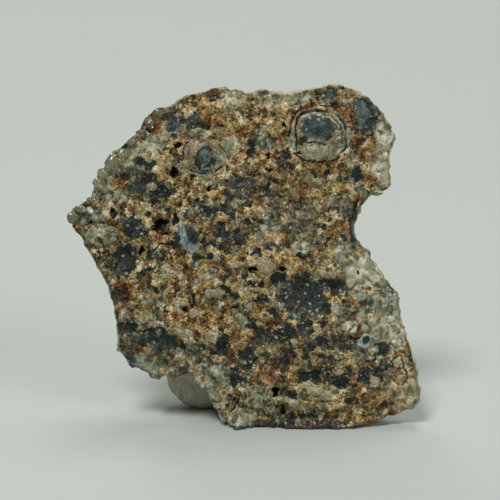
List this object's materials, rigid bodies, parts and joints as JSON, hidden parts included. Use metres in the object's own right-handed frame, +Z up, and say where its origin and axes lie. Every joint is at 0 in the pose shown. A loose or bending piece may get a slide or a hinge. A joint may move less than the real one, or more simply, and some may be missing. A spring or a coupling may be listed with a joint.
{
  "type": "chalcedony rose",
  "caption": "Palm-sized chalcedony rose that stands on its lower rim: a rough, clay-stained, bubbled crust in front and a rosette of smooth overlapping petals behind.",
  "frame": {"origin": "on the surface it stands on, under the middle of the stone's box", "axes": "+Z up as it stands, +X along its width to the right seen from the front, +Y from the rough front face towards the petals behind"},
  "size_m": [0.05, 0.0206, 0.0473],
  "materials": {
    "chalcedony": "satin"
  },
  "bodies": {
    "root": {"chalcedony_rose": "chalcedony"}
  },
  "joints": []
}
